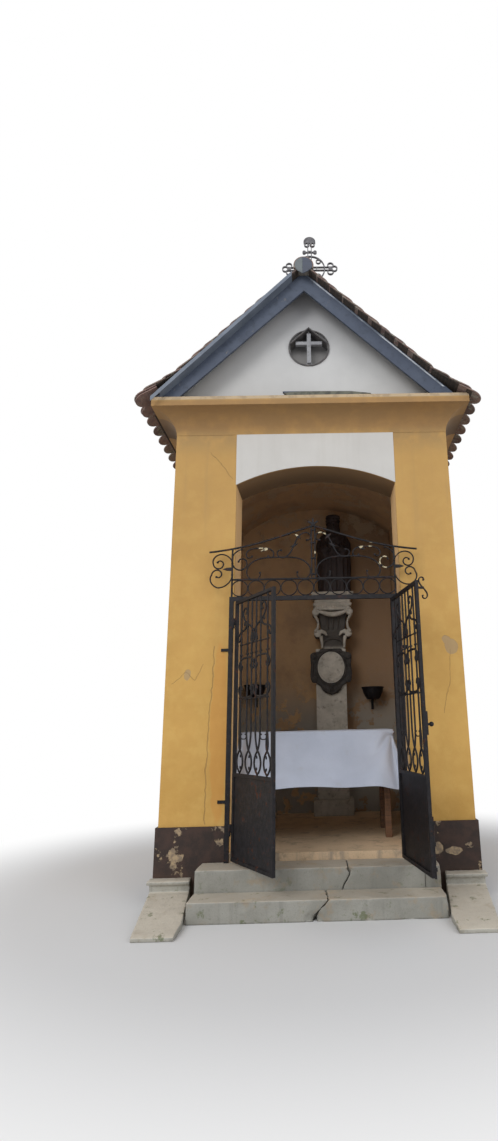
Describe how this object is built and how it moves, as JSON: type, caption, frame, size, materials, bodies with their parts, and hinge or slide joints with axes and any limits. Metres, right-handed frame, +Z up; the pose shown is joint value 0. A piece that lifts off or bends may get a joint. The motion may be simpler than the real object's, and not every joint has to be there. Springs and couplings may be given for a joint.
{
  "type": "wayside shrine",
  "caption": "Small open wayside chapel of plastered masonry with a tiled gable roof, a vaulted niche, an altar table and a wrought iron double gate.",
  "frame": {"origin": "on the lowest ground under the middle of the doorway, in the plane of the front wall", "axes": "+Z up, +X to the right seen from the front, +Y from the front wall towards the back wall"},
  "size_m": [3.1542, 3.572, 6.3829],
  "materials": {
    "ochre_plaster": "matt painted lime plaster on masonry, stained and cracked",
    "white_plaster": "matt whitewashed plaster",
    "plinth_plaster": "matt dark painted plaster, peeling",
    "concrete": "rough weathered concrete",
    "floor_concrete": "smoothed tan concrete",
    "clay_tile": "weathered clay tile with lichen",
    "painted_board": "dull blue-grey paint on wood",
    "black_iron": "black painted wrought iron, worn",
    "cast_cross": "grey weathered cast iron",
    "pale_metal": "pale grey painted metal",
    "dark_metal": "dark grey weathered metal",
    "table_wood": "plain brown wood",
    "white_cloth": "white woven cotton",
    "carved_stone": "pale carved stone, grimy",
    "dark_stone": "dark grey painted carving",
    "statue_paint": "dark painted carved figure"
  },
  "bodies": {
    "root": {"plinth": "plinth_plaster", "front_pier_left": "ochre_plaster", "front_pier_right": "ochre_plaster", "front_head": "ochre_plaster", "head_panel": "white_plaster", "side_wall_left": "ochre_plaster", "side_wall_right": "ochre_plaster", "back_wall": "ochre_plaster", "vault": "ochre_plaster", "floor_slab": "floor_concrete", "cornice": "ochre_plaster", "gable_front": "white_plaster", "gable_back": "white_plaster", "step_upper": "concrete", "step_end_block": "concrete", "step_lower": "concrete", "edge_slab_left": "concrete", "edge_slab_right": "concrete", "roof_left": "clay_tile", "roof_right": "clay_tile", "ridge_tiles": "clay_tile", "barge_boards_front": "painted_board", "barge_boards_back": "painted_board", "verge_strips": "pale_metal", "oculus_hood": "dark_metal", "ridge_cross": "cast_cross", "oculus_cross": "pale_metal", "gate_frame": "black_iron", "gate_overthrow": "black_iron", "table_top": "table_wood", "table_legs": "table_wood", "tablecloth": "white_cloth", "pedestal_shaft": "carved_stone", "cartouche": "dark_stone", "plaque": "carved_stone", "pedestal_capital": "carved_stone", "statue": "statue_paint", "planter_left": "black_iron", "planter_right": "black_iron"},
    "leaf_left": {"leaf_left_frame": "black_iron", "leaf_left_scrolls": "black_iron", "leaf_left_panel": "black_iron"},
    "leaf_right": {"leaf_right_frame": "black_iron", "leaf_right_scrolls": "black_iron", "leaf_right_panel": "black_iron"}
  },
  "joints": [
    {"name": "left_gate_hinge", "type": "hinge", "parent": "root", "child": "leaf_left", "pos_m": [-0.6725, -0.105, 1.2], "axis": [0, 0, -1], "range_deg": [-56.5, 100]},
    {"name": "right_gate_hinge", "type": "hinge", "parent": "root", "child": "leaf_right", "pos_m": [0.6725, -0.105, 1.2], "axis": [0, 0, 1], "range_deg": [-100, 55]}
  ]
}
